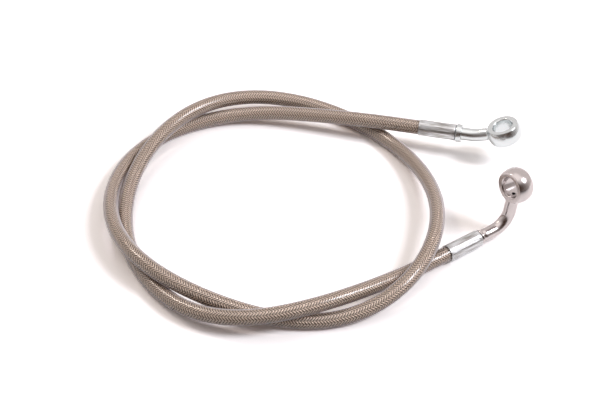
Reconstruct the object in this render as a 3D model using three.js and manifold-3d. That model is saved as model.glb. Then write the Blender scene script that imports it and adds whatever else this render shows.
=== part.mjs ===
// A braided stainless brake line, coiled for storage, with a banjo fitting crimped on each end.
// Millimetres, +Z up. The hose lies on the plane z = 0, and the far side of the coil is at +Y.
// Each end piece is modelled along its own +X axis, from the ferrule's mouth towards the eye,
// with +Z as the way its neck bends, and is then set on the end of the hose.
import * as THREE from 'three';
import { mergeVertices } from 'three/addons/utils/BufferGeometryUtils.js';
import Module from 'manifold-3d';

const wasm = await Module();
wasm.setup();

// Hose layers
const HOSE_OD = 7.5;
const COVER_WALL = 0.4;
const BRAID_WALL = 0.45;
const LINER_WALL = 0.55;
const LAYER_CLEARANCE = 0.3;
const HOSE_SIDES = 12;
const FREE_STEPS = 52;

// Ferrules
const FERRULE_LENGTH = 19.4;
const FERRULE_OD = 8.5;
const FERRULE_FIT = 0.2;
const MOUTH_DEPTH = 2.6;
const MOUTH_CHAMFER = 0.15;
const LIP_THICKNESS = 2;
const SHOULDER_ROUND = 0.8;
const CRIMP_FLATS = 8;
const CRIMP_DEPTH = 0.22;
const CRIMP_START = 0.7;
const CRIMP_END_MARGIN = 1.3;

// Stems, which the liner is pushed over
const STEM_CLEARANCE = 0.25;
const STEM_START = 3;
const BARB_DEPTH = 0.15;
const BARB_PITCH = 2.6;
const BARB_COUNT = 4;
const STEM_BORE = 1.4;
const PASSAGE_BORE = 2;

// Joint between a ferrule and its fitting
const ROOT_OD = 4.8;
const SEAT_CLEARANCE = 0.3;

// How far the forms of one body run into each other, and a cutter past the face that it cuts
const OVERRUN = 1;

// Banjo eyes
const EYE_BALL = 17.8;
const EYE_THICKNESS = 8.6;
const EYE_BORE = 10.2;
const BORE_CHAMFER = 0.5;

// Upper fitting: a slight bend behind a round collar
const UPPER = {
  neckDiameter: 6.6,
  straight: 6.8,
  bendRadius: 22,
  bendAngle: 19,
  toEye: 11.6,
  eyeTilt: 0,
};
const COLLAR_OD = 9.4;
const COLLAR_LENGTH = 2.8;
const COLLAR_CHAMFER = 0.25;

// Lower fitting: a sharp bend behind a turned bead
const LOWER = {
  neckDiameter: 6.6,
  straight: 9,
  bendRadius: 10,
  bendAngle: 82,
  toEye: 15.3,
  eyeTilt: 2,
};
const BEAD_OD = 7.5;
const BEAD_LENGTH = 1.7;
const WAIST_OD = 5.6;
const WAIST_LENGTH = 1.2;

// Facet counts
const TURNED_SIDES = 28;
const STEM_SIDES = 16;
const BORE_SIDES = 12;
const NECK_SIDES = 16;
const NECK_STEPS = 14;
const BALL_ARCS = 8;

// Route of the hose's centre from the upper ferrule's mouth to the lower one's, nearly two turns.
const ROUTE = [
  [54.5, 52.2, 12.3],
  [27, 59.5, 11.5],
  [-1, 67, 8.8],
  [-27, 72.5, 6.7],
  [-54, 71, 4.4],
  [-79.5, 58.5, 3.5],
  [-97, 37, 4.6],
  [-104, 9, 6.8],
  [-100.5, -21, 10.1],
  [-84.5, -48, 12.1],
  [-60.5, -65.5, 10.3],
  [-31.5, -76, 5.5],
  [-3.5, -80, 3],
  [20.5, -76, 5.2],
  [40.5, -63.5, 10.2],
  [54.5, -42.5, 13.8],
  [61, -14, 12.8],
  [57.5, 17, 8.1],
  [44.5, 45.5, 4.2],
  [24, 67.5, 3.4],
  [-1.5, 81, 5.6],
  [-29, 84, 9.1],
  [-55.5, 75.5, 12],
  [-76.5, 56.5, 11.7],
  [-90.5, 30.5, 8.8],
  [-96, 2.5, 5.6],
  [-93.5, -26, 3.7],
  [-81.5, -53, 3.7],
  [-59.5, -76.5, 6.1],
  [-32, -84.5, 10.6],
  [-5, -79, 12.4],
  [19.5, -65.5, 9.3],
  [44.4, -47.7, 4.7],
  [63, -35, 4.75],
].map(([x, y, z]) => new THREE.Vector3(x, y, z));

// Sizes that follow from the ones above
const coverRadius = HOSE_OD / 2;
const coverInner = coverRadius - COVER_WALL;
const braidRadius = coverInner - LAYER_CLEARANCE;
const braidInner = braidRadius - BRAID_WALL;
const linerRadius = braidInner - LAYER_CLEARANCE;
const linerInner = linerRadius - LINER_WALL;
const stemRadius = linerInner * Math.cos(Math.PI / HOSE_SIDES) - STEM_CLEARANCE;
const ferruleRadius = FERRULE_OD / 2;
const rootRadius = ROOT_OD / 2;
const eyeBallRadius = EYE_BALL / 2;
const boreRadius = EYE_BORE / 2;
const faceHeight = EYE_THICKNESS / 2;
const coverLead = MOUTH_DEPTH - SEAT_CLEARANCE;
const hoseLead = FERRULE_LENGTH - LIP_THICKNESS - SEAT_CLEARANCE;
const shoulderStart = FERRULE_LENGTH + SEAT_CLEARANCE;
const layerSteps = FREE_STEPS + 2;

// A springy run of hose: a uniform cubic B-spline that starts on the first point and ends on the last.
class HoseRoute extends THREE.Curve {
  constructor(points) {
    super();
    this.points = points;
    this.arcLengthDivisions = 2000;
  }

  getPoint(t, target = new THREE.Vector3()) {
    const points = this.points;
    const last = points.length - 1;
    const span = Math.min(Math.floor(t * last), last - 1);
    const f = t * last - span;
    const a = span > 0 ? points[span - 1] : mirrored(points[0], points[1]);
    const d = span < last - 1 ? points[span + 2] : mirrored(points[last], points[last - 1]);
    return target.set(0, 0, 0)
      .addScaledVector(a, (1 - f) ** 3 / 6)
      .addScaledVector(points[span], (3 * f ** 3 - 6 * f ** 2 + 4) / 6)
      .addScaledVector(points[span + 1], (-3 * f ** 3 + 3 * f ** 2 + 3 * f + 1) / 6)
      .addScaledVector(d, f ** 3 / 6);
  }
}

function mirrored(end, next) {
  return end.clone().multiplyScalar(2).sub(next);
}

// The path of one layer: the free run, with one straight step of the given length into each ferrule.
class LayerPath extends THREE.Curve {
  constructor(route, lead) {
    super();
    this.route = route;
    this.lead = lead;
  }

  share(u) {
    return THREE.MathUtils.clamp((u * layerSteps - 1) / FREE_STEPS, 0, 1);
  }

  getPointAt(u, target = new THREE.Vector3()) {
    const step = u * layerSteps - 1;
    const overrun = Math.min(step, 0) + Math.max(step - FREE_STEPS, 0);
    const point = this.route.getPointAt(this.share(u), target);
    return point.addScaledVector(this.getTangentAt(u), overrun * this.lead);
  }

  getTangentAt(u, target = new THREE.Vector3()) {
    return this.route.getTangentAt(this.share(u), target);
  }
}

// The centre line of a bent neck: straight, then an arc towards +Z, then straight to the eye's centre.
class NeckPath extends THREE.Curve {
  constructor({ start, straight, bendRadius, bendAngle, toEye }) {
    super();
    this.start = start;
    this.straight = straight;
    this.radius = bendRadius;
    this.angle = THREE.MathUtils.degToRad(bendAngle);
    this.arc = bendRadius * this.angle;
    this.total = straight + this.arc + toEye;
  }

  turned(u) {
    return THREE.MathUtils.clamp((u * this.total - this.straight) / this.radius, 0, this.angle);
  }

  getPointAt(u, target = new THREE.Vector3()) {
    const along = u * this.total;
    const turn = this.turned(u);
    const before = Math.min(along, this.straight);
    const after = Math.max(along - this.straight - this.arc, 0);
    return target.set(
      this.start + before + this.radius * Math.sin(turn) + after * Math.cos(turn),
      0,
      this.radius * (1 - Math.cos(turn)) + after * Math.sin(turn),
    );
  }

  getTangentAt(u, target = new THREE.Vector3()) {
    const turn = this.turned(u);
    return target.set(Math.cos(turn), 0, Math.sin(turn));
  }
}

// A stretch of another path, so that a neck can stop short of the eye's bore.
class Stretch extends THREE.Curve {
  constructor(path, from, to) {
    super();
    this.path = path;
    this.from = from;
    this.to = to;
  }

  getPointAt(u, target) {
    return this.path.getPointAt(THREE.MathUtils.lerp(this.from, this.to, u), target);
  }

  getTangentAt(u, target) {
    return this.path.getTangentAt(THREE.MathUtils.lerp(this.from, this.to, u), target);
  }
}

function ring(radius, sides) {
  return Array.from({ length: sides }, (_, k) => {
    const angle = 2 * Math.PI * k / sides;
    return new THREE.Vector2(radius * Math.cos(angle), radius * Math.sin(angle));
  });
}

function tubeAlong(path, steps, outer, inner, sides) {
  const section = new THREE.Shape(ring(outer, sides));
  if (inner > 0) {
    section.holes.push(new THREE.Path(ring(inner, sides)));
  }
  return new THREE.ExtrudeGeometry(section, { steps, extrudePath: path, bevelEnabled: false });
}

// Turned about the local +X axis, from a profile of [distance along X, radius] pairs.
function turnedAboutX(profile, sides = TURNED_SIDES) {
  const points = profile.map(([x, r]) => new THREE.Vector2(r, x));
  return new THREE.LatheGeometry(points, sides).rotateZ(-Math.PI / 2);
}

function toSolid(geometry) {
  const bare = geometry.clone();
  bare.deleteAttribute('normal');
  bare.deleteAttribute('uv');
  const merged = mergeVertices(bare, 1e-4);
  const vertProperties = new Float32Array(merged.attributes.position.array);
  const triVerts = new Uint32Array(merged.index.array);
  return new wasm.Manifold(new wasm.Mesh({ numProp: 3, vertProperties, triVerts }));
}

function toGeometry(solid) {
  const mesh = solid.getMesh();
  const geometry = new THREE.BufferGeometry();
  geometry.setAttribute('position', new THREE.BufferAttribute(mesh.vertProperties, 3));
  geometry.setIndex(new THREE.BufferAttribute(mesh.triVerts, 1));
  geometry.computeVertexNormals();
  return geometry;
}

// Crimped ferrule: a sleeve with a wide mouth for the cover, a grip bore and a lip behind the root.
function ferruleGeometry() {
  const mouthRadius = coverRadius + FERRULE_FIT;
  const gripRadius = braidRadius + FERRULE_FIT;
  const lipRadius = rootRadius + SEAT_CLEARANCE;
  const lipStart = FERRULE_LENGTH - LIP_THICKNESS;
  const roundCorner = [0, 0.25, 0.5, 0.75, 1].map((share) => {
    const angle = share * Math.PI / 2;
    const x = FERRULE_LENGTH - SHOULDER_ROUND * (1 - Math.sin(angle));
    return [x, ferruleRadius - SHOULDER_ROUND * (1 - Math.cos(angle))];
  });
  const sleeve = turnedAboutX([
    [0, mouthRadius],
    [0, ferruleRadius - MOUTH_CHAMFER],
    [MOUTH_CHAMFER, ferruleRadius],
    ...roundCorner,
    [FERRULE_LENGTH, lipRadius],
    [lipStart, lipRadius],
    [lipStart, gripRadius],
    [MOUTH_DEPTH, gripRadius],
    [MOUTH_DEPTH, mouthRadius],
    [0, mouthRadius],
  ]);
  const crimpEnd = FERRULE_LENGTH - CRIMP_END_MARGIN;
  const flatRadius = (ferruleRadius - CRIMP_DEPTH) / Math.cos(Math.PI / CRIMP_FLATS);
  const waste = toSolid(turnedAboutX([
    [CRIMP_START, 0],
    [CRIMP_START, FERRULE_OD],
    [crimpEnd, FERRULE_OD],
    [crimpEnd, 0],
  ])).subtract(toSolid(turnedAboutX([
    [CRIMP_START - OVERRUN, 0],
    [CRIMP_START - OVERRUN, flatRadius],
    [crimpEnd + OVERRUN, flatRadius],
    [crimpEnd + OVERRUN, 0],
  ], CRIMP_FLATS)));
  return toGeometry(toSolid(sleeve).subtract(waste));
}

// Barbed stem and plain root, up to the shoulder.
function stemSolid() {
  const barbs = Array.from({ length: BARB_COUNT }, (_, k) => STEM_START + (k + 1) * BARB_PITCH)
    .flatMap((x) => [[x, stemRadius], [x, stemRadius - BARB_DEPTH]]);
  const rootStart = FERRULE_LENGTH - LIP_THICKNESS;
  return toSolid(turnedAboutX([
    [STEM_START, 0],
    [STEM_START, stemRadius - BARB_DEPTH],
    ...barbs,
    [rootStart, stemRadius],
    [rootStart, rootRadius],
    [shoulderStart + OVERRUN, rootRadius],
    [shoulderStart + OVERRUN, 0],
  ], STEM_SIDES));
}

// Shoulder of the upper fitting: a round collar with both edges broken.
function collarShoulder() {
  const end = shoulderStart + COLLAR_LENGTH;
  const collarRadius = COLLAR_OD / 2;
  return toSolid(turnedAboutX([
    [shoulderStart, 0],
    [shoulderStart, collarRadius - COLLAR_CHAMFER],
    [shoulderStart + COLLAR_CHAMFER, collarRadius],
    [end - COLLAR_CHAMFER, collarRadius],
    [end, collarRadius - COLLAR_CHAMFER],
    [end, 0],
  ]));
}

// Shoulder of the lower fitting: a round bead, then a waist that opens out to the neck.
function beadedShoulder() {
  const rise = [0, 0.2, 0.4, 0.6, 0.8, 1].map((share) => [
    shoulderStart + BEAD_LENGTH * share,
    WAIST_OD / 2 + (BEAD_OD - WAIST_OD) / 2 * Math.sqrt(1 - (2 * share - 1) ** 2),
  ]);
  const neckStart = shoulderStart + BEAD_LENGTH + WAIST_LENGTH;
  return toSolid(turnedAboutX([
    [shoulderStart, 0],
    ...rise,
    [neckStart, LOWER.neckDiameter / 2],
    [neckStart + OVERRUN, LOWER.neckDiameter / 2],
    [neckStart + OVERRUN, 0],
  ]));
}

// Banjo eye: a ball with two flat faces and a chamfered bore, turned about the local +Z axis.
function eyeGeometry() {
  const faceAngle = Math.asin(faceHeight / eyeBallRadius);
  const ball = Array.from({ length: BALL_ARCS + 1 }, (_, k) => {
    const angle = THREE.MathUtils.lerp(-faceAngle, faceAngle, k / BALL_ARCS);
    return new THREE.Vector2(eyeBallRadius * Math.cos(angle), eyeBallRadius * Math.sin(angle));
  });
  const mouth = boreRadius + BORE_CHAMFER;
  const profile = [
    new THREE.Vector2(mouth, -faceHeight),
    ...ball,
    new THREE.Vector2(mouth, faceHeight),
    new THREE.Vector2(boreRadius, faceHeight - BORE_CHAMFER),
    new THREE.Vector2(boreRadius, -faceHeight + BORE_CHAMFER),
    new THREE.Vector2(mouth, -faceHeight),
  ];
  return new THREE.LatheGeometry(profile, TURNED_SIDES).rotateX(Math.PI / 2);
}

// One-piece banjo fitting: stem, shoulder, bent neck, eye and the drilled fluid passage.
function banjoGeometry(size, shoulder, neckStart) {
  const path = new NeckPath({ ...size, start: FERRULE_LENGTH });
  const centre = path.getPointAt(1);
  const eyeTurn = -THREE.MathUtils.degToRad(size.bendAngle + size.eyeTilt);
  const place = (geometry) => geometry.rotateY(eyeTurn).translate(centre.x, centre.y, centre.z);

  const neckEnd = 1 - (boreRadius + BORE_CHAMFER * 2) / path.total;
  const neckPath = new Stretch(path, (neckStart - FERRULE_LENGTH) / path.total, neckEnd);
  const neck = toSolid(tubeAlong(neckPath, NECK_STEPS, size.neckDiameter / 2, 0, NECK_SIDES));
  const eye = toSolid(place(eyeGeometry()));

  const passage = toSolid(tubeAlong(path, NECK_STEPS, PASSAGE_BORE / 2, 0, BORE_SIDES));
  const stemBore = toSolid(turnedAboutX([
    [STEM_START - OVERRUN, 0],
    [STEM_START - OVERRUN, STEM_BORE / 2],
    [FERRULE_LENGTH + OVERRUN, STEM_BORE / 2],
    [FERRULE_LENGTH + OVERRUN, 0],
  ], BORE_SIDES));
  const body = neck.add(eye).add(shoulder).add(stemSolid());
  return toGeometry(body.subtract(passage).subtract(stemBore));
}

// Materials
const clearCover = new THREE.MeshStandardMaterial({ color: 0xb7a796, roughness: 0.15, metalness: 0 });
const steelBraid = new THREE.MeshStandardMaterial({ color: 0x9c9184, roughness: 0.4, metalness: 0.9 });
const whiteLiner = new THREE.MeshStandardMaterial({ color: 0xece8dd, roughness: 0.6, metalness: 0 });
const zincPlate = new THREE.MeshStandardMaterial({ color: 0xb9bfbf, roughness: 0.35, metalness: 1 });
const brightZinc = new THREE.MeshStandardMaterial({ color: 0xc4cacd, roughness: 0.25, metalness: 1 });
const nickelPlate = new THREE.MeshStandardMaterial({ color: 0xbdb5b1, roughness: 0.12, metalness: 1 });

function named(name, geometry, material) {
  const mesh = new THREE.Mesh(geometry, material);
  mesh.name = name;
  return mesh;
}

// A group on one end of the hose, its +X along the hose's end and its +Z as near upright as that allows.
function endGroup(mouth, inward) {
  const along = mouth.clone().sub(inward).normalize();
  const across = new THREE.Vector3(0, 0, 1).cross(along).normalize();
  const bend = along.clone().cross(across);
  const group = new THREE.Group();
  group.quaternion.setFromRotationMatrix(new THREE.Matrix4().makeBasis(along, across, bend));
  group.position.copy(mouth);
  return group;
}

const route = new HoseRoute(ROUTE);
const layer = (lead, outer, inner) => (
  tubeAlong(new LayerPath(route, lead), layerSteps, outer, inner, HOSE_SIDES)
);

const upperEnd = endGroup(ROUTE[0], ROUTE[1]);
upperEnd.add(named('upper_ferrule', ferruleGeometry(), zincPlate));
upperEnd.add(named(
  'upper_banjo_fitting',
  banjoGeometry(UPPER, collarShoulder(), shoulderStart + COLLAR_LENGTH / 2),
  brightZinc,
));

const lowerEnd = endGroup(ROUTE[ROUTE.length - 1], ROUTE[ROUTE.length - 2]);
lowerEnd.add(named('lower_ferrule', ferruleGeometry(), zincPlate));
lowerEnd.add(named(
  'lower_banjo_fitting',
  banjoGeometry(LOWER, beadedShoulder(), shoulderStart + BEAD_LENGTH + WAIST_LENGTH + OVERRUN / 2),
  nickelPlate,
));

const brakeLine = new THREE.Group();
brakeLine.add(named('hose_cover', layer(coverLead, coverRadius, coverInner), clearCover));
brakeLine.add(named('hose_braid', layer(hoseLead, braidRadius, braidInner), steelBraid));
brakeLine.add(named('hose_liner', layer(hoseLead, linerRadius, linerInner), whiteLiner));
brakeLine.add(upperEnd, lowerEnd);

export default brakeLine;
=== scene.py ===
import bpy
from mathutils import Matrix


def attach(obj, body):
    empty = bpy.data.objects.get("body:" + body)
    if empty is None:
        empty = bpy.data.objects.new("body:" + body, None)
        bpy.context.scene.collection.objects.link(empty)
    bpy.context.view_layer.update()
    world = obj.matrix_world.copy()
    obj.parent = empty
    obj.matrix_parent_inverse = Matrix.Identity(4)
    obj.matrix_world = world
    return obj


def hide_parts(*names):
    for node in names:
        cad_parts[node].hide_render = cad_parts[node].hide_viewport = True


bl_info = {
    "name": "Braided Brake Line",
    "version": (1, 0, 0),
    "blender": (4, 5, 0),
    "location": "View3D > Sidebar > Brake Line",
    "description": "Builds a coiled braided brake line with banjo fittings on its packed frame",
    "category": "Object",
}

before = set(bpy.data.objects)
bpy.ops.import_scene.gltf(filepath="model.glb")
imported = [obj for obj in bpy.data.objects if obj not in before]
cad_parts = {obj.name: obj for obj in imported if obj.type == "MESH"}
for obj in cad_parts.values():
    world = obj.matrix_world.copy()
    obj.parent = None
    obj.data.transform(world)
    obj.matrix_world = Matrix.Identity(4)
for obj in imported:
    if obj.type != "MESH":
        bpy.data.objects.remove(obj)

import math

import bmesh
import bpy
import numpy as np
from bpy.props import FloatProperty, FloatVectorProperty, IntProperty, PointerProperty
from mathutils import Vector

MM = 0.001

# Dark mark on the cover: its middle along the hose and round it, half its width, how many turns it reaches
# to each side, and its slant in metres per turn
MARK_PLACE = 785.7 * MM
MARK_TURN = 0.525
MARK_HALF_WIDTH = 0.2 * MM
MARK_REACH = 0.06
MARK_SLANT = 19 * MM

# Route of the hose's centre in metres, from the upper ferrule's mouth to the lower one's.
ROUTE = np.array([
    (0.0545, 0.0522, 0.0123),
    (0.027, 0.0595, 0.0115),
    (-0.001, 0.067, 0.0088),
    (-0.027, 0.0725, 0.0067),
    (-0.054, 0.071, 0.0044),
    (-0.0795, 0.0585, 0.0035),
    (-0.097, 0.037, 0.0046),
    (-0.104, 0.009, 0.0068),
    (-0.1005, -0.021, 0.0101),
    (-0.0845, -0.048, 0.0121),
    (-0.0605, -0.0655, 0.0103),
    (-0.0315, -0.076, 0.0055),
    (-0.0035, -0.08, 0.003),
    (0.0205, -0.076, 0.0052),
    (0.0405, -0.0635, 0.0102),
    (0.0545, -0.0425, 0.0138),
    (0.061, -0.014, 0.0128),
    (0.0575, 0.017, 0.0081),
    (0.0445, 0.0455, 0.0042),
    (0.024, 0.0675, 0.0034),
    (-0.0015, 0.081, 0.0056),
    (-0.029, 0.084, 0.0091),
    (-0.0555, 0.0755, 0.012),
    (-0.0765, 0.0565, 0.0117),
    (-0.0905, 0.0305, 0.0088),
    (-0.096, 0.0025, 0.0056),
    (-0.0935, -0.026, 0.0037),
    (-0.0815, -0.053, 0.0037),
    (-0.0595, -0.0765, 0.0061),
    (-0.032, -0.0845, 0.0106),
    (-0.005, -0.079, 0.0124),
    (0.0195, -0.0655, 0.0093),
    (0.0444, -0.0477, 0.0047),
    (0.063, -0.035, 0.00475),
])


def linear(code):
    """An sRGB hex colour as linear red, green and blue."""
    share = np.array([int(code[k:k + 2], 16) for k in (1, 3, 5)]) / 255
    return tuple(np.where(share <= 0.04045, share / 12.92, ((share + 0.055) / 1.055) ** 2.4).tolist())


# Sizes and colours

class HoseSettings(bpy.types.PropertyGroup):
    outer_diameter: FloatProperty(
        name="Outer diameter", description="Outside of the clear cover", default=7.5 * MM, unit="LENGTH")
    cover_wall: FloatProperty(
        name="Cover wall", description="Thickness of the clear cover", default=0.55 * MM, unit="LENGTH")
    braid_diameter: FloatProperty(
        name="Braid diameter", description="Outside of the wire braid, which the cover grips",
        default=6.6 * MM, unit="LENGTH")
    braid_wall: FloatProperty(
        name="Braid wall", description="Thickness of the wire braid", default=0.45 * MM, unit="LENGTH")
    strands: IntProperty(
        name="Strands", description="Strands that run each way round the braid", default=12)
    strand_pitch: FloatProperty(
        name="Strand pitch", description="From one strand to the next along the hose",
        default=1.4 * MM, unit="LENGTH")
    cover_lead: FloatProperty(
        name="Cover lead", description="How far the cover runs into a ferrule",
        default=2.3 * MM, unit="LENGTH")
    braid_lead: FloatProperty(
        name="Braid lead", description="How far the braid runs into a ferrule",
        default=17.1 * MM, unit="LENGTH")
    ring_step: FloatProperty(
        name="Ring step", description="Distance between the mesh's rings", default=1.5 * MM, unit="LENGTH")
    cover_colour: FloatVectorProperty(
        name="Cover colour", description="Tint of the clear cover",
        default=linear("#f3eef0"), subtype="COLOR")
    haze_colour: FloatVectorProperty(
        name="Haze colour", description="Milky edge of the clear cover",
        default=linear("#dbd5d8"), subtype="COLOR")
    wire_colour: FloatVectorProperty(
        name="Wire colour", description="Crowns of the braid's strands",
        default=linear("#d0c0ae"), subtype="COLOR")
    # Painted shade: the dark colour that the braid takes in the creases between its strands
    gap_shade_colour: FloatVectorProperty(
        name="Gap colour", description="Between the braid's strands",
        default=linear("#514841"), subtype="COLOR")
    liner_colour: FloatVectorProperty(
        name="Liner colour", description="The tube inside the braid",
        default=linear("#ece8dd"), subtype="COLOR")


class FerruleSettings(bpy.types.PropertyGroup):
    length: FloatProperty(
        name="Length", description="From the mouth to the shoulder", default=19.4 * MM, unit="LENGTH")
    diameter: FloatProperty(
        name="Diameter", description="Across the round lands", default=8.5 * MM, unit="LENGTH")
    mouth_depth: FloatProperty(
        name="Mouth depth", description="Depth of the wide part that takes the cover",
        default=2.6 * MM, unit="LENGTH")
    lip: FloatProperty(
        name="Lip", description="Thickness of the lip at the shoulder", default=2 * MM, unit="LENGTH")
    flats: IntProperty(name="Flats", description="Crimped flats round the ferrule", default=8)
    crimp_depth: FloatProperty(
        name="Crimp depth", description="How deep the flats are pressed", default=0.15 * MM, unit="LENGTH")
    colour: FloatVectorProperty(
        name="Colour", description="Zinc plate", default=linear("#dadde0"), subtype="COLOR")
    line_colour: FloatVectorProperty(
        name="Line colour", description="Drawn lines in the plate",
        default=linear("#9a9793"), subtype="COLOR")


class FittingSettings(bpy.types.PropertyGroup):
    ball_diameter: FloatProperty(
        name="Ball diameter", description="Ball of a banjo eye", default=17.8 * MM, unit="LENGTH")
    thickness: FloatProperty(
        name="Thickness", description="Between an eye's two faces", default=8.6 * MM, unit="LENGTH")
    bore: FloatProperty(name="Bore", description="Bolt hole of an eye", default=10.2 * MM, unit="LENGTH")
    bore_chamfer: FloatProperty(
        name="Bore chamfer", description="Chamfer at both ends of the bore", default=0.5 * MM, unit="LENGTH")
    passage: FloatProperty(
        name="Passage", description="Drilled hole from the neck into the bore", default=2 * MM, unit="LENGTH")
    cutter_radius: FloatProperty(
        name="Cutter radius", description="Reach of the cutter that faced the eye",
        default=14.5 * MM, unit="LENGTH")
    fillet: FloatProperty(
        name="Fillet", description="Where a neck runs into its ball", default=1.3 * MM, unit="LENGTH")
    zinc_colour: FloatVectorProperty(
        name="Zinc colour", description="Bright zinc of the upper fitting",
        default=linear("#ced3d4"), subtype="COLOR")
    nickel_colour: FloatVectorProperty(
        name="Nickel colour", description="Polished nickel of the lower fitting",
        default=linear("#beb7b6"), subtype="COLOR")


class StageSettings(bpy.types.PropertyGroup):
    pitch: FloatProperty(
        name="Pitch", description="How far the camera looks down", default=math.radians(42), subtype="ANGLE")
    distance: FloatProperty(
        name="Distance", description="From the camera to its target", default=0.741, unit="LENGTH")
    target: FloatVectorProperty(
        name="Target", description="Point of the floor at the middle of the picture",
        default=(-8 * MM, 9 * MM, 0), subtype="XYZ", unit="LENGTH")
    lens: FloatProperty(
        name="Lens", description="Focal length in millimetres on a 36 mm frame", default=87.66)
    floor_colour: FloatVectorProperty(
        name="Floor colour", description="Plain studio floor, as it lights the object",
        default=linear("#ece8e6"), subtype="COLOR")
    floor_seen: FloatVectorProperty(
        name="Floor as seen", description="The same floor, overexposed, as the camera and the gloss see it",
        default=(1.62, 1.6, 1.6), subtype="COLOR", soft_max=2)
    room_colour: FloatVectorProperty(
        name="Room colour", description="Lit walls and ceiling of the studio", default=linear("#fff8f6"),
        subtype="COLOR")
    unlit_colour: FloatVectorProperty(
        name="Unlit colour", description="Unlit end of the studio, in front of the table",
        default=linear("#55433a"), subtype="COLOR")


# Each softbox: name, place, side of the square, watts and colour
LAMPS = (
    ("key_softbox", (1.34, -0.24, 1.41), 0.58, 19.0, "#f8f9ff"),
    ("back_softbox", (-0.98, 0.74, 1.46), 0.27, 4.5, "#fff1e4"),
    ("overhead_softbox", (-0.1, 0.1, 2.1), 1.9, 6.5, "#fffaf8"),
)

# Direction of the studio's unlit end, and half the side of its floor in metres
UNLIT_WAY = (0.1, -0.934, 0.342)
FLOOR_HALF = 4.0


# Shapes of the two necks, in metres along the fitting's own axis and bent towards its own up

UPPER_NECK = {
    "radius": 3.3 * MM, "straight": 6.8 * MM, "bend_radius": 22 * MM, "bend": math.radians(19),
    "to_eye": 11.6 * MM, "tilt": 0.0,
}
LOWER_NECK = {
    "radius": 3.3 * MM, "straight": 9 * MM, "bend_radius": 10 * MM, "bend": math.radians(82),
    "to_eye": 15.3 * MM, "tilt": math.radians(2),
}

# An eye: the rounding of its edges, how near its centre a neck's fillet ends, and how far the neck's solid
# stops short of its bore
EDGE_ROUNDING = 0.12 * MM
FILLET_END = 7.6 * MM
NECK_STOP = 1.2 * MM

# Collar of the upper fitting, bead and waist of the lower one, and the stem that both have. Shapes that are
# joined run into each other by the overlap.
COLLAR_RADIUS = 4.7 * MM
COLLAR_LENGTH = 2.8 * MM
COLLAR_ROUNDING = 0.3 * MM
BEAD_RADIUS = 3.75 * MM
BEAD_LENGTH = 1.7 * MM
WAIST_RADIUS = 2.8 * MM
WAIST_LENGTH = 1.2 * MM
ROOT_RADIUS = 2.4 * MM
ROOT_LENGTH = 2 * MM
STEM_RADIUS = 1.44 * MM
STEM_BORE = 0.7 * MM
STEM_START = 3 * MM
SEAT_CLEARANCE = 0.3 * MM
OVERLAP = 0.5 * MM

# Inside and edges of a ferrule. Its crimp keeps clear of both ends and eases in and out.
MOUTH_RADIUS = 3.95 * MM
GRIP_RADIUS = 3.45 * MM
MOUTH_CHAMFER = 0.15 * MM
SHOULDER_ROUNDING = 0.6 * MM
CRIMP_FROM_MOUTH = 0.7 * MM
CRIMP_FROM_SHOULDER = 1.3 * MM
CRIMP_EASE = 0.4 * MM

# Columns of facets round each shape, and on each flat of a ferrule
COVER_COLUMNS = 32
BRAID_COLUMNS = 36
SHOULDER_COLUMNS = 96
EYE_COLUMNS = 128
FLAT_COLUMNS = 16


# Curves and surfaces as arrays

def unit(vectors):
    """Vectors over their own lengths."""
    return vectors / np.linalg.norm(vectors, axis=-1, keepdims=True)


def spline(points, count):
    """A uniform cubic B-spline that starts on the first point and ends on the last, at count + 1 places
    with even steps of length: each place is a weighted sum of four points with cubic weights. Returns the
    places and the curve's length."""
    ends = 2 * points[[0, -1]] - points[[1, -2]]
    padded = np.vstack([ends[:1], points, ends[1:]])
    t = np.linspace(0, len(points) - 1, 40 * len(points))
    span = np.minimum(t.astype(int), len(points) - 2)
    f = (t - span)[:, None]
    weights = ((1 - f) ** 3, 3 * f ** 3 - 6 * f ** 2 + 4, -3 * f ** 3 + 3 * f ** 2 + 3 * f + 1, f ** 3)
    curve = sum(w / 6 * padded[span + k] for k, w in enumerate(weights))
    length = np.concatenate([[0], np.cumsum(np.linalg.norm(np.diff(curve, axis=0), axis=1))])
    places = np.linspace(0, length[-1], count + 1)
    return np.stack([np.interp(places, length, curve[:, k]) for k in range(3)], 1), length[-1]


def hose_path(lead, step):
    """The route at even steps, with a straight lead added at both ends, and the length before each place."""
    free, length = spline(ROUTE, round(spline(ROUTE, 2)[1] / step))
    start = unit(ROUTE[0] - ROUTE[1])
    end = unit(ROUTE[-1] - ROUTE[-2])
    path = np.vstack([free[0] + start * lead, free, free[-1] + end * lead])
    along = np.concatenate([[-lead], np.linspace(0, length, len(free)), [length + lead]])
    return path, along


def sweep(path, radius, turns):
    """Rings round a path that is never upright: at each place the ring is the place plus radius times
    (cos turn of the sideways direction plus sin turn of the upward one)."""
    tangent = unit(np.gradient(path, axis=0))
    side = unit(np.cross((0, 0, 1), tangent))
    up = np.cross(tangent, side)
    angle = 2 * np.pi * turns
    ring = side[:, None] * np.cos(angle)[:, None] + up[:, None] * np.sin(angle)[:, None]
    return path[:, None] + radius * ring


def turned(profile, columns, reach=lambda x, r, angle: r):
    """A profile of (x, r) pairs carried round the local x axis: y is r cos angle and z is r sin angle,
    where reach may shorten r by place and angle."""
    x, r = np.asarray(profile, float).T[:, :, None]
    angle = np.linspace(0, 2 * np.pi, columns, endpoint=False)[None]
    r = reach(x, r + 0 * angle, angle)
    return np.stack([x + 0 * angle, r * np.cos(angle), r * np.sin(angle)], 2)


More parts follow.
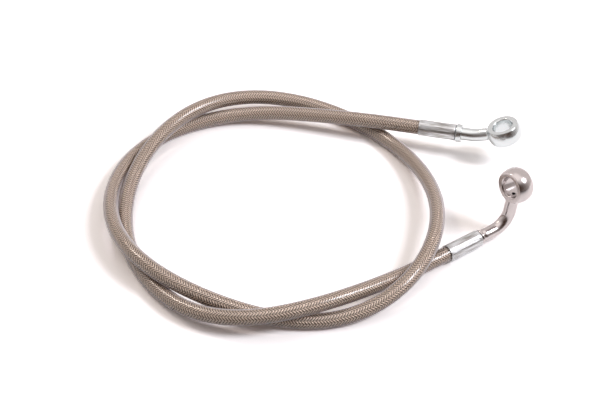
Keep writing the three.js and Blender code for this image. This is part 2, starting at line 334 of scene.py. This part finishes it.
def rounded(profile, radius, steps=4):
    """The closed profile with each corner replaced by a quadratic arc, which starts and ends radius away or
    a little before the middle of a short side."""
    points = np.asarray(profile, float)
    before = np.roll(points, 1, axis=0)
    after = np.roll(points, -1, axis=0)
    near = np.linalg.norm(points - before, axis=1, keepdims=True)
    far = np.linalg.norm(after - points, axis=1, keepdims=True)
    a = points + (before - points) * np.minimum(radius / near, 0.45)
    b = points + (after - points) * np.minimum(radius / far, 0.45)
    t = np.linspace(0, 1, steps + 1)[None, :, None]
    arcs = (1 - t) ** 2 * a[:, None] + 2 * t * (1 - t) * points[:, None] + t ** 2 * b[:, None]
    return arcs.reshape(-1, 2)


def grid_mesh(name, grid, uv=None):
    """A closed shell from a grid of points that runs on from its last row and column to its first. uv gives
    (row values, column values), one more of each than the grid has rows and columns."""
    rows, columns = grid.shape[:2]
    i, j = np.meshgrid(np.arange(rows), np.arange(columns), indexing="ij")
    down, right = (i + 1) % rows, (j + 1) % columns
    quads = np.stack([i * columns + j, i * columns + right, down * columns + right, down * columns + j], -1)
    mesh = bpy.data.meshes.new(name)
    mesh.from_pydata(grid.reshape(-1, 3), [], quads.reshape(-1, 4).tolist())
    if uv is not None:
        u, v = uv
        corners = [np.stack([u[i + a], v[j + b]], -1) for a, b in ((0, 0), (0, 1), (1, 1), (1, 0))]
        layer = mesh.uv_layers.new(name="UVMap")
        layer.data.foreach_set("uv", np.stack(corners, 2).astype(np.float32).ravel())
    mesh.update()
    return mesh


def finish_mesh(mesh, sharp_angle=math.radians(32)):
    """Smooth shading, with edges sharper than the angle left crisp."""
    mesh.polygons.foreach_set("use_smooth", np.ones(len(mesh.polygons), bool))
    mesh.set_sharp_from_angle(angle=sharp_angle)
    return mesh


def tube_mesh(name, path, along, radius, wall, columns):
    """A closed tube along a path, with millimetres along the hose and turns round it as its UVs."""
    turns = np.linspace(0, 1, columns + 1)
    outer = sweep(path, radius, turns[:-1])
    inner = sweep(path, radius - wall, turns[:-1])
    rows = np.concatenate([along, along[::-1], along[:1]]) / MM
    return finish_mesh(grid_mesh(name, np.concatenate([outer, inner[::-1]]), (rows, turns)))


def add_piece(name, mesh, material, slot, *nodes):
    """A finished piece that rides on the object's one body and stands for the given CAD nodes."""
    piece = bpy.data.objects.new(name, mesh)
    bpy.context.scene.collection.objects.link(piece)
    mesh.materials.append(material)
    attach(piece, "root")
    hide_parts(*nodes)
    return piece


def end_axes(mouth, inward):
    """Rows: along the hose's end, across it, and the way its neck bends, as near upright as that allows."""
    along = unit(mouth - inward)
    across = unit(np.cross((0, 0, 1), along))
    return np.stack([along, across, np.cross(along, across)])


ENDS = {
    "upper": (ROUTE[0], end_axes(ROUTE[0], ROUTE[1])),
    "lower": (ROUTE[-1], end_axes(ROUTE[-1], ROUTE[-2])),
}


def placed(points, end):
    """Local points set on the named end of the hose."""
    mouth, axes = ENDS[end]
    return mouth + points @ axes


def neck_line(distance, neck, start):
    """Centre line at a distance from the shoulder: straight, then an arc upwards, then straight.
    Returns the points and the angle that the line has turned by there."""
    arc = neck["bend_radius"] * neck["bend"]
    turn = np.clip((distance - neck["straight"]) / neck["bend_radius"], 0, neck["bend"])
    before = np.minimum(distance, neck["straight"])
    after = np.maximum(distance - neck["straight"] - arc, 0)
    x = start + before + neck["bend_radius"] * np.sin(turn) + after * np.cos(turn)
    z = neck["bend_radius"] * (1 - np.cos(turn)) + after * np.sin(turn)
    return np.stack([x, 0 * x, z], -1), turn


def neck_total(neck):
    """Length of a neck's centre line from the shoulder to the eye's centre."""
    return neck["straight"] + neck["bend_radius"] * neck["bend"] + neck["to_eye"]


def neck_tube(neck, start, first, last, radius, columns=64, steps=90):
    """A closed tube along a neck's centre line, its rings square to the line, with its two ends capped.
    radius is a function of the distance from the eye's centre."""
    distance = np.linspace(first, last, steps)
    centre, turn = neck_line(distance, neck, start)
    angle = np.linspace(0, 2 * np.pi, columns, endpoint=False)
    r = radius(neck_total(neck) - distance)[:, None]
    y = r * np.cos(angle)
    out = r * np.sin(angle)
    rings = np.stack([
        centre[:, :1] - out * np.sin(turn)[:, None],
        y,
        centre[:, 2:] + out * np.cos(turn)[:, None]], 2)
    return np.concatenate([rings, np.repeat(centre[[-1, 0]][:, None], columns, axis=1)])


# Nodes of a material

def add(tree, kind, inputs=None, **settings):
    """Adds a node with its settings, and fills each input with a value or with a link from another node."""
    node = tree.nodes.new(kind)
    for name, value in settings.items():
        setattr(node, name, value)
    for name, value in (inputs or {}).items():
        if isinstance(value, bpy.types.NodeSocket):
            tree.links.new(value, node.inputs[name])
        else:
            node.inputs[name].default_value = value
    return node


def calc(tree, operation, *values):
    """Result of a math node on numbers or on other nodes' results."""
    return add(tree, "ShaderNodeMath", dict(enumerate(values)), operation=operation).outputs[0]


def ramp(tree, value, low, high, first=0.0, last=1.0, kind="LINEAR"):
    """Runs from first to last while the value goes from low to high, and holds beyond them."""
    return add(tree, "ShaderNodeMapRange", {
        "Value": value, "From Min": low, "From Max": high, "To Min": first, "To Max": last},
        interpolation_type=kind).outputs[0]


def blend(tree, share, first, second):
    """The first colour where the share is 0, and the second where it is 1."""
    return add(tree, "ShaderNodeMix", {0: share, 6: first, 7: second}, data_type="RGBA").outputs[2]


def mix_shaders(tree, share, first, second):
    """The first shader where the share is 0, and the second where it is 1."""
    return add(tree, "ShaderNodeMixShader", {0: share, 1: first, 2: second}).outputs[0]


def uv_places(tree):
    """Millimetres along the hose and turns round it, from the mesh's UVs."""
    place = add(tree, "ShaderNodeSeparateXYZ", {0: add(tree, "ShaderNodeUVMap").outputs[0]})
    return place.outputs[0], place.outputs[1]


def new_material(name):
    """An empty node material and its output node."""
    material = bpy.data.materials.new(name)
    material.use_nodes = True
    material.node_tree.nodes.clear()
    return material, add(material.node_tree, "ShaderNodeOutputMaterial")


def rgba(colour):
    """A property's colour with full alpha."""
    return (*colour, 1.0)


def clear_vinyl(colour, haze_colour):
    """Extruded clear PVC: a smooth skin with sharp glints, and a milky haze where one looks along its wall.
    Lamps pass through it, so that the braid inside is lit. One short dark mark lies across its side, as in
    the photo, on a line that slants along the hose."""
    material, output = new_material("clear_vinyl_extruded")
    tree = material.node_tree
    skin = add(tree, "ShaderNodeBsdfPrincipled", {
        "Base Color": rgba(colour), "Roughness": 0.17, "IOR": 1.53, "Transmission Weight": 1.0})
    haze = add(tree, "ShaderNodeBsdfDiffuse", {"Color": rgba(haze_colour)})
    dirt = add(tree, "ShaderNodeBsdfDiffuse", {"Color": rgba(linear("#463d39"))})
    passed = add(tree, "ShaderNodeBsdfTransparent", {"Color": rgba(colour)})
    edge = add(tree, "ShaderNodeLayerWeight", {"Blend": 0.5}).outputs["Facing"]
    milky = ramp(tree, edge, 0.38, 0.8, 0.0, 0.8, "SMOOTHSTEP")
    along, turn = uv_places(tree)
    slanted = calc(tree, "MULTIPLY_ADD", turn, MARK_SLANT / MM, along)
    middle = (MARK_PLACE + MARK_SLANT * MARK_TURN) / MM
    line = calc(tree, "COMPARE", slanted, middle, MARK_HALF_WIDTH / MM)
    reach = calc(tree, "COMPARE", turn, MARK_TURN, MARK_REACH)
    mark = calc(tree, "MULTIPLY", line, reach)
    light = add(tree, "ShaderNodeLightPath")
    lighting = calc(tree, "MAXIMUM", light.outputs["Is Shadow Ray"], light.outputs["Is Diffuse Ray"])
    wall = mix_shaders(tree, milky, skin.outputs[0], haze.outputs[0])
    marked = mix_shaders(tree, mark, wall, dirt.outputs[0])
    tree.links.new(mix_shaders(tree, lighting, marked, passed.outputs[0]), output.inputs["Surface"])
    return material


def woven_steel(settings):
    """Stainless wire braid, two over and two under: each strand lies about 50 degrees off the hose's axis,
    and the strands' floats stand in columns along the hose, so one sees rows of slanted flecks. Towards
    each strand's edges the colour darkens to painted shade, in the creases between strands. Single wires are
    too fine to show, so each strand is drawn as one smooth ridge. Its height is a cosine across it, and
    another cosine round the hose lifts one way over the other."""
    material, output = new_material("stainless_wire_woven")
    tree = material.node_tree
    along, turn = uv_places(tree)
    strands_round = calc(tree, "MULTIPLY", turn, float(settings.strands))
    strands_along = calc(tree, "DIVIDE", along, settings.strand_pitch / MM)
    column = calc(tree, "COSINE", calc(tree, "MULTIPLY", strands_round, math.pi))
    crowns, heights = [], []
    for way, lift in (("ADD", 0.8), ("SUBTRACT", -0.8)):
        strand = calc(tree, way, strands_round, strands_along)
        across = calc(tree, "COSINE", calc(tree, "MULTIPLY", strand, 2 * math.pi))
        crown = calc(tree, "MULTIPLY_ADD", across, 0.5, 0.5)
        crowns.append(crown)
        heights.append(calc(tree, "MULTIPLY_ADD", column, lift, crown))
    top = calc(tree, "MAXIMUM", *heights)
    first = calc(tree, "GREATER_THAN", *heights)
    shown = add(tree, "ShaderNodeMix", {"Factor": first, "A": crowns[1], "B": crowns[0]}, data_type="FLOAT")
    # Painted shade: towards each strand's edges the colour darkens to the gap shade colour, in the creases
    # between strands
    shade = ramp(tree, shown.outputs[0], 0.0, 0.6, kind="SMOOTHSTEP")
    colour = blend(tree, shade, rgba(settings.gap_shade_colour), rgba(settings.wire_colour))
    bump = add(tree, "ShaderNodeBump", {"Strength": 1.0, "Distance": 0.16 * MM, "Height": top})
    steel = add(tree, "ShaderNodeBsdfPrincipled", {
        "Base Color": colour, "Metallic": 0.7, "Roughness": 0.52, "Normal": bump.outputs[0]})
    tree.links.new(steel.outputs[0], output.inputs["Surface"])
    return material


def plated_metal(name, colour, roughness, cloudy, pits):
    """Plated steel, with smooth reflections: cloudy is how far clouds 3 mm wide vary its roughness, and pits
    is the depth in metres of a fine unevenness, which breaks up the edges of the reflections."""
    material, output = new_material(name)
    tree = material.node_tree
    place = add(tree, "ShaderNodeTexCoord")
    grain = add(tree, "ShaderNodeTexNoise", {
        "Vector": place.outputs["Object"], "Scale": 1 / (0.35 * MM), "Detail": 2.0})
    cloud = add(tree, "ShaderNodeTexNoise", {
        "Vector": place.outputs["Object"], "Scale": 1 / (3 * MM), "Detail": 2.0})
    rough = ramp(tree, cloud.outputs["Fac"], 0.0, 1.0, roughness - cloudy, roughness + cloudy)
    bump = add(tree, "ShaderNodeBump", {
        "Strength": 0.5, "Distance": pits, "Height": grain.outputs["Fac"]})
    plate = add(tree, "ShaderNodeBsdfPrincipled", {
        "Base Color": rgba(colour), "Metallic": 1.0, "Roughness": rough, "Normal": bump.outputs[0]})
    tree.links.new(plate.outputs[0], output.inputs["Surface"])
    return material


def drawn_zinc(light, dark, perimeter):
    """Zinc plate over drawn and crimped tube: fine lines that run along the tube break its bands of light
    into streaks. The noise that draws them has cells 0.45 mm wide and about 8 mm long."""
    material, output = new_material("zinc_plate_drawn")
    tree = material.node_tree
    place = add(tree, "ShaderNodeUVMap").outputs[0]
    cells = (0.12, perimeter / (0.45 * MM), 1.0)
    stretch = add(tree, "ShaderNodeVectorMath", {0: place, 1: cells}, operation="MULTIPLY")
    lines = add(tree, "ShaderNodeTexNoise", {"Vector": stretch.outputs[0], "Scale": 1.0, "Detail": 3.0})
    tone = blend(tree, ramp(tree, lines.outputs["Fac"], 0.38, 0.6), rgba(dark), rgba(light))
    bump = add(tree, "ShaderNodeBump", {
        "Strength": 0.6, "Distance": 0.05 * MM, "Height": lines.outputs["Fac"]})
    plate = add(tree, "ShaderNodeBsdfPrincipled", {
        "Base Color": tone, "Metallic": 1.0, "Roughness": 0.36, "Normal": bump.outputs[0]})
    tree.links.new(plate.outputs[0], output.inputs["Surface"])
    return material


def soft_polymer(name, colour):
    """Extruded PTFE: waxy white, without a sharp glint."""
    material, output = new_material(name)
    tree = material.node_tree
    wax = add(tree, "ShaderNodeBsdfPrincipled", {
        "Base Color": rgba(colour), "Roughness": 0.5, "IOR": 1.35})
    tree.links.new(wax.outputs[0], output.inputs["Surface"])
    return material


# Operators

class BRAKELINE_OT_build_stage(bpy.types.Operator):
    """Camera, floor, studio lamps and world"""
    bl_idname = "brakeline.build_stage"
    bl_label = "Stage"

    def execute(self, context):
        scene = context.scene
        settings = scene.brake_line_stage
        scene.view_settings.view_transform = "Standard"
        self.add_camera(scene, settings)
        self.add_floor(scene, settings)
        self.add_lamps(scene)
        self.light_world(scene, settings)
        return {"FINISHED"}

    def add_camera(self, scene, settings):
        data = bpy.data.cameras.new("camera")
        data.lens = settings.lens
        data.sensor_width = 36
        data.clip_start = 0.01
        camera = bpy.data.objects.new("camera", data)
        back = Vector((0, -math.cos(settings.pitch), math.sin(settings.pitch)))
        camera.location = Vector(settings.target) + back * settings.distance
        camera.rotation_euler = (math.pi / 2 - settings.pitch, 0, 0)
        scene.collection.objects.link(camera)
        scene.camera = camera

    def add_floor(self, scene, settings):
        """A square of floor far larger than the view. Where it lights the object or shows in its gloss, it
        fades to an eighth from the coil's middle towards the unlit end of the studio."""
        mesh = bpy.data.meshes.new("floor")
        corners = [(FLOOR_HALF * x, FLOOR_HALF * y, 0) for x, y in ((-1, -1), (1, -1), (1, 1), (-1, 1))]
        mesh.from_pydata(corners, [], [(0, 1, 2, 3)])
        material, output = new_material("matt_studio_floor")
        tree = material.node_tree
        light = add(tree, "ShaderNodeLightPath")
        camera = light.outputs["Is Camera Ray"]
        seen = calc(tree, "MAXIMUM", camera, light.outputs["Is Glossy Ray"])
        gain = blend(tree, seen, rgba(settings.floor_colour), rgba(settings.floor_seen))
        place = add(tree, "ShaderNodeSeparateXYZ", {0: add(tree, "ShaderNodeTexCoord").outputs["Object"]})
        share = calc(tree, "MAXIMUM", ramp(tree, place.outputs["Y"], -0.22, -0.03, 0.12), camera)
        colour = add(tree, "ShaderNodeVectorMath", {0: gain, "Scale": share}, operation="SCALE")
        matt = add(tree, "ShaderNodeBsdfDiffuse", {"Color": colour.outputs[0]})
        tree.links.new(matt.outputs[0], output.inputs["Surface"])
        mesh.materials.append(material)
        floor = bpy.data.objects.new("floor", mesh)
        scene.collection.objects.link(floor)

    def add_lamps(self, scene):
        """Each lamp is a square softbox that faces the middle of the coil."""
        for name, place, size, power, colour in LAMPS:
            data = bpy.data.lights.new(name, "AREA")
            data.size = size
            data.energy = power
            data.color = linear(colour)
            lamp = bpy.data.objects.new(name, data)
            lamp.location = place
            lamp.rotation_euler = (-Vector(place)).to_track_quat("-Z", "Y").to_euler()
            scene.collection.objects.link(lamp)

    def light_world(self, scene, settings):
        """A white background for the camera and through glass. For fill and gloss it fades to the unlit end
        of the studio, in front of the table and below the ceiling, and the fill is weaker."""
        world = bpy.data.worlds.new("studio")
        world.use_nodes = True
        tree = world.node_tree
        tree.nodes.clear()
        light = add(tree, "ShaderNodeLightPath")
        seen = calc(tree, "MAXIMUM", light.outputs["Is Camera Ray"], light.outputs["Is Transmission Ray"])
        way = add(tree, "ShaderNodeTexCoord").outputs["Generated"]
        front = add(tree, "ShaderNodeVectorMath", {0: way, 1: UNLIT_WAY}, operation="DOT_PRODUCT")
        height = add(tree, "ShaderNodeSeparateXYZ", {0: way}).outputs["Z"]
        near = ramp(tree, front.outputs["Value"], -0.15, 0.95)
        below = ramp(tree, height, 0.64, 0.88, 1.0, 0.0)
        unlit = calc(tree, "MULTIPLY", near, below)
        tone = blend(tree, unlit, rgba(settings.room_colour), rgba(settings.unlit_colour))
        fill = add(tree, "ShaderNodeBackground", {"Color": tone, "Strength": 0.37})
        room = add(tree, "ShaderNodeBackground", {"Color": tone, "Strength": 1.0})
        white = add(tree, "ShaderNodeBackground", {"Color": (1.0, 1.0, 1.0, 1.0), "Strength": 1.0})
        unseen = mix_shaders(tree, light.outputs["Is Glossy Ray"], fill.outputs[0], room.outputs[0])
        output = add(tree, "ShaderNodeOutputWorld")
        tree.links.new(mix_shaders(tree, seen, unseen, white.outputs[0]), output.inputs["Surface"])
        scene.world = world


class BRAKELINE_OT_build_hose_cover(bpy.types.Operator):
    """Clear cover of the hose"""
    bl_idname = "brakeline.build_hose_cover"
    bl_label = "Clear cover"

    def execute(self, context):
        settings = context.scene.brake_line_hose
        path, along = hose_path(settings.cover_lead, settings.ring_step)
        mesh = tube_mesh(
            "clear_cover", path, along, settings.outer_diameter / 2, settings.cover_wall, COVER_COLUMNS)
        material = clear_vinyl(settings.cover_colour, settings.haze_colour)
        piece = add_piece("clear_cover", mesh, material, "clear_cover", "hose_cover")
        return {"FINISHED"}


class BRAKELINE_OT_build_braid(bpy.types.Operator):
    """Wire braid under the cover"""
    bl_idname = "brakeline.build_braid"
    bl_label = "Wire braid"

    def execute(self, context):
        settings = context.scene.brake_line_hose
        path, along = hose_path(settings.braid_lead, settings.ring_step)
        mesh = tube_mesh(
            "wire_braid", path, along, settings.braid_diameter / 2, settings.braid_wall, BRAID_COLUMNS)
        add_piece("wire_braid", mesh, woven_steel(settings), "steel_braid", "hose_braid")
        return {"FINISHED"}


class BRAKELINE_OT_finish_liner(bpy.types.Operator):
    """Finish of the liner inside the braid"""
    bl_idname = "brakeline.finish_liner"
    bl_label = "Liner"

    def execute(self, context):
        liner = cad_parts["hose_liner"]
        material = soft_polymer("ptfe_extruded", context.scene.brake_line_hose.liner_colour)
        liner.data.materials.clear()
        liner.data.materials.append(material)
        return {"FINISHED"}


class BRAKELINE_OT_build_ferrules(bpy.types.Operator):
    """Two crimped ferrules"""
    bl_idname = "brakeline.build_ferrules"
    bl_label = "Ferrules"

    def execute(self, context):
        settings = context.scene.brake_line_ferrule
        material = drawn_zinc(settings.colour, settings.line_colour, math.pi * settings.diameter)
        rows, sleeve = self.sleeve(settings)
        along = [x / MM for x, r in rows]
        uv = np.array([*along, along[0]]), np.linspace(0, 1, sleeve.shape[1] + 1)
        for end in ("upper", "lower"):
            mesh = grid_mesh(f"{end}_ferrule_sleeve", placed(sleeve, end), uv)
            add_piece(f"{end}_ferrule_sleeve", finish_mesh(mesh), material, "zinc_ferrule", f"{end}_ferrule")
        return {"FINISHED"}

    def sleeve(self, settings):
        """The ferrule's closed profile, and that profile carried round its axis. Between the two crimp marks
        the radius is the round land's less the crimp depth times a wave, one plus the cosine of the turn
        times the count of flats, over two, which leaves soft flats."""
        land = settings.diameter / 2
        start, end = CRIMP_FROM_MOUTH, settings.length - CRIMP_FROM_SHOULDER
        lip = ROOT_RADIUS + SEAT_CLEARANCE
        lip_start = settings.length - settings.lip

        def reach(x, r, angle):
            share = np.clip(np.minimum(x - start, end - x) / CRIMP_EASE, 0, 1)
            pressed = settings.crimp_depth * (1 + np.cos(settings.flats * angle)) / 2
            return np.where(r > (MOUTH_RADIUS + land) / 2, r - pressed * share, r)

        turn = np.linspace(0, np.pi / 2, 7)[:, None]
        shoulder = np.hstack([
            settings.length - SHOULDER_ROUNDING * (1 - np.sin(turn)),
            land - SHOULDER_ROUNDING * (1 - np.cos(turn))])
        rows = [(0, MOUTH_RADIUS), (0, land - MOUTH_CHAMFER), (MOUTH_CHAMFER, land)]
        rows += [(x, land) for x in np.linspace(start - 0.1 * MM, end + 0.1 * MM, 40)]
        rows += shoulder.tolist()
        rows += [(settings.length, lip), (lip_start, lip), (lip_start, GRIP_RADIUS)]
        rows += [(settings.mouth_depth, GRIP_RADIUS), (settings.mouth_depth, MOUTH_RADIUS)]
        return rows, turned(rows, FLAT_COLUMNS * settings.flats, reach)


def weld(mesh):
    """Joins corners that lie in the same place, such as the ring of corners at a pole."""
    work = bmesh.new()
    work.from_mesh(mesh)
    bmesh.ops.remove_doubles(work, verts=work.verts, dist=0.001 * MM)
    work.to_mesh(mesh)
    work.free()
    return mesh


def shell_object(name, grid):
    """A closed shell as a plain object, ready to be joined to or cut from another."""
    mesh = weld(grid_mesh(name, grid))
    shell = bpy.data.objects.new(name, mesh)
    bpy.context.scene.collection.objects.link(shell)
    return shell


def combine(base, others, operation):
    """The base mesh with the other shells joined to it or cut out of it. The shells are used up."""
    for other in others:
        step = base.modifiers.new("combine", "BOOLEAN")
        step.operation = operation
        step.solver = "EXACT"
        step.object = other
    graph = bpy.context.evaluated_depsgraph_get()
    mesh = bpy.data.meshes.new_from_object(base.evaluated_get(graph))
    base.modifiers.clear()
    base.data = mesh
    for other in others:
        bpy.data.objects.remove(other)


def eye_shell(settings, centre, lean):
    """Banjo eye: a ball with two flat faces and a chamfered bore, its profile carried round the eye's axis,
    then leaned back by the bend and set on the neck's end."""
    ball = settings.ball_diameter / 2
    half = settings.thickness / 2
    bore = settings.bore / 2
    mouth = bore + settings.bore_chamfer
    edge = math.asin(half / ball)
    arc = np.linspace(-edge, edge, 41)
    outline = np.stack([ball * np.sin(arc), ball * np.cos(arc)], 1).tolist()
    rim = ball * math.cos(edge)
    inside = half - settings.bore_chamfer
    corners = rounded(
        [(half, rim), (half, mouth), (inside, bore), (-inside, bore), (-half, mouth), (-half, rim)],
        EDGE_ROUNDING)[3:-3]
    profile = outline[1:-1] + corners.tolist()
    axis, across, up = np.moveaxis(turned(profile, EYE_COLUMNS)[:, ::-1], 2, 0)
    return np.stack([
        centre[0] + up * math.cos(lean) - axis * math.sin(lean),
        across,
        centre[2] + up * math.sin(lean) + axis * math.cos(lean)], 2)


def faced(points, settings, centre, lean):
    """Points beyond an eye's faces, within the cutter's reach, are pulled back to 5 micrometres under them,
    so that neck and face share no plane."""
    axis = np.array([-math.sin(lean), 0, math.cos(lean)])
    offset = points - centre
    height = offset @ axis
    reach = np.linalg.norm(offset - height[..., None] * axis, axis=-1)
    limit = settings.thickness / 2 - 0.005 * MM
    cut = np.where(reach < settings.cutter_radius, np.clip(height, -limit, limit), height)
    return points + (cut - height)[..., None] * axis


def build_fitting(context, end, neck, shoulder, neck_start, material, slot):
    """Stem, shoulder, neck and eye joined to one solid, with the fluid passage drilled through it."""
    settings = context.scene.brake_line_fitting
    start = context.scene.brake_line_ferrule.length
    total = neck_total(neck)
    centre = neck_line(np.array([total]), neck, start)[0][0]
    lean = neck["bend"] + neck["tilt"]
    root = total - settings.bore / 2 - NECK_STOP

    def swelling(away):
        """The neck's radius plus a fillet that starts where the neck nears the ball."""
        share = np.clip(1 - (away - FILLET_END) / settings.fillet, 0, 1)
        return neck["radius"] + settings.fillet * (1 - np.sqrt(1 - share ** 2))

    tube = neck_tube(neck, start, neck_start - start, root, swelling)
    body = shell_object(f"{end}_banjo", placed(eye_shell(settings, centre, lean), end))
    parts = [
        shell_object("neck", placed(faced(tube, settings, centre, lean), end)),
        shell_object("shoulder", placed(shoulder, end))]
    combine(body, parts, "UNION")
    drill = neck_tube(
        neck, start, -OVERLAP, total, lambda away: settings.passage / 2 + 0 * away, columns=32, steps=60)
    combine(body, [shell_object("drill", placed(drill, end))], "DIFFERENCE")
    mesh = weld(body.data)
    mesh.materials.clear()
    bpy.data.objects.remove(body)
    add_piece(f"{end}_banjo", finish_mesh(mesh, math.radians(28)), material, slot, f"{end}_banjo_fitting")


def stem_profile(shoulder):
    """Bore and outside of the stem up to where the shoulder starts, as (x, r) pairs."""
    root = shoulder - SEAT_CLEARANCE - ROOT_LENGTH
    return [
        (shoulder + OVERLAP, STEM_BORE), (STEM_START, STEM_BORE), (STEM_START, STEM_RADIUS),
        (root, STEM_RADIUS), (root, ROOT_RADIUS), (shoulder, ROOT_RADIUS)]


class BRAKELINE_OT_build_upper_fitting(bpy.types.Operator):
    """Upper banjo fitting, with a round collar behind its ferrule"""
    bl_idname = "brakeline.build_upper_fitting"
    bl_label = "Upper fitting"

    def execute(self, context):
        settings = context.scene.brake_line_fitting
        start = context.scene.brake_line_ferrule.length + SEAT_CLEARANCE
        end = start + COLLAR_LENGTH
        root = UPPER_NECK["radius"] - 0.1 * MM
        last = end + 0.3 * MM
        collar = rounded(
            [(start, ROOT_RADIUS), (start, COLLAR_RADIUS), (end, COLLAR_RADIUS), (end, root)],
            COLLAR_ROUNDING)[5:-5].tolist()
        profile = stem_profile(start) + collar + [(end, root), (last, root), (last, STEM_BORE)]
        material = plated_metal(
            "bright_zinc_plate_forged", settings.zinc_colour, roughness=0.22, cloudy=0.04, pits=0.012 * MM)
        build_fitting(
            context, "upper", UPPER_NECK, turned(profile, SHOULDER_COLUMNS), start + COLLAR_LENGTH / 2,
            material, "bright_zinc")
        return {"FINISHED"}


class BRAKELINE_OT_build_lower_fitting(bpy.types.Operator):
    """Lower banjo fitting, with a turned bead behind its ferrule"""
    bl_idname = "brakeline.build_lower_fitting"
    bl_label = "Lower fitting"

    def execute(self, context):
        settings = context.scene.brake_line_fitting
        start = context.scene.brake_line_ferrule.length + SEAT_CLEARANCE
        turn = np.linspace(0, np.pi, 15)[1:-1, None]
        bead = np.hstack([
            start + BEAD_LENGTH / 2 * (1 - np.cos(turn)),
            WAIST_RADIUS + (BEAD_RADIUS - WAIST_RADIUS) * np.sin(turn)]).tolist()
        flare = start + BEAD_LENGTH + WAIST_LENGTH
        root = LOWER_NECK["radius"] + 0.02 * MM
        last = flare + 0.8 * MM
        profile = stem_profile(start) + bead + [
            (start + BEAD_LENGTH, WAIST_RADIUS), (flare, root), (last, root), (last, STEM_BORE)]
        material = plated_metal(
            "nickel_plate_polished", settings.nickel_colour, roughness=0.21, cloudy=0.03, pits=0.004 * MM)
        build_fitting(
            context, "lower", LOWER_NECK, turned(profile, SHOULDER_COLUMNS), flare, material, "nickel_plate")
        return {"FINISHED"}


class BRAKELINE_PT_pieces(bpy.types.Panel):
    """Pieces of the brake line"""
    bl_idname = "BRAKELINE_PT_pieces"
    bl_label = "Brake Line"
    bl_space_type = "VIEW_3D"
    bl_region_type = "UI"
    bl_category = "Brake Line"

    def draw(self, context):
        for operator in OPERATORS:
            self.layout.operator(operator.bl_idname)


SETTINGS = (
    ("brake_line_hose", HoseSettings),
    ("brake_line_ferrule", FerruleSettings),
    ("brake_line_fitting", FittingSettings),
    ("brake_line_stage", StageSettings),
)
OPERATORS = (
    BRAKELINE_OT_build_stage,
    BRAKELINE_OT_build_ferrules,
    BRAKELINE_OT_build_upper_fitting,
    BRAKELINE_OT_build_lower_fitting,
    BRAKELINE_OT_build_hose_cover,
    BRAKELINE_OT_build_braid,
    BRAKELINE_OT_finish_liner,
)


def register():
    for name, group in SETTINGS:
        bpy.utils.register_class(group)
        setattr(bpy.types.Scene, name, PointerProperty(type=group))
    for cls in (*OPERATORS, BRAKELINE_PT_pieces):
        bpy.utils.register_class(cls)


def unregister():
    for cls in (BRAKELINE_PT_pieces, *reversed(OPERATORS)):
        bpy.utils.unregister_class(cls)
    for name, group in reversed(SETTINGS):
        delattr(bpy.types.Scene, name)
        bpy.utils.unregister_class(group)


def main():
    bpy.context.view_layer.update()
    register()
    bpy.ops.brakeline.build_stage()
    bpy.ops.brakeline.build_ferrules()
    bpy.ops.brakeline.build_upper_fitting()
    bpy.ops.brakeline.build_lower_fitting()
    bpy.ops.brakeline.build_hose_cover()
    bpy.ops.brakeline.build_braid()
    bpy.ops.brakeline.finish_liner()


if __name__ == "__main__":
    main()
